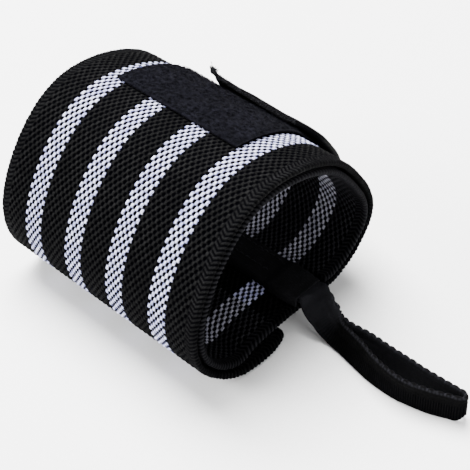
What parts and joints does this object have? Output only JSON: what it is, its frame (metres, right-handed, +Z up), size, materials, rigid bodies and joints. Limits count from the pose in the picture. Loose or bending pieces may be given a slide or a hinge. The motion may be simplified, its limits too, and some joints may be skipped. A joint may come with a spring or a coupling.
{
  "type": "wrist wrap",
  "caption": "Striped woven elastic wrist wrap wound into an oval roll, closed by a hook tab on a loop patch, with a narrow elastic thumb loop at one end",
  "frame": {"origin": "middle of the bounding box, on the floor that the roll rests on", "axes": "+X along the roll's axis from its plain end to the mouth with the thumb loop, +Y to the back where the hook tab comes up, +Z up"},
  "size_m": [0.1376, 0.086, 0.0606],
  "materials": {
    "woven_elastic": "matte knitted polyester over rubber, black with four white woven stripes",
    "loop_fleece": "fuzzy brushed loop pile",
    "hook_tape": "woven nylon tape with fine hooks",
    "binding_tape": "matte woven tape",
    "ribbed_elastic": "ribbed narrow elastic with scalloped edge"
  },
  "bodies": {
    "root": {"elastic_band": "woven_elastic", "loop_patch": "loop_fleece", "hook_tab": "hook_tape", "inner_end_binding": "binding_tape", "thumb_loop": "ribbed_elastic"}
  },
  "joints": []
}
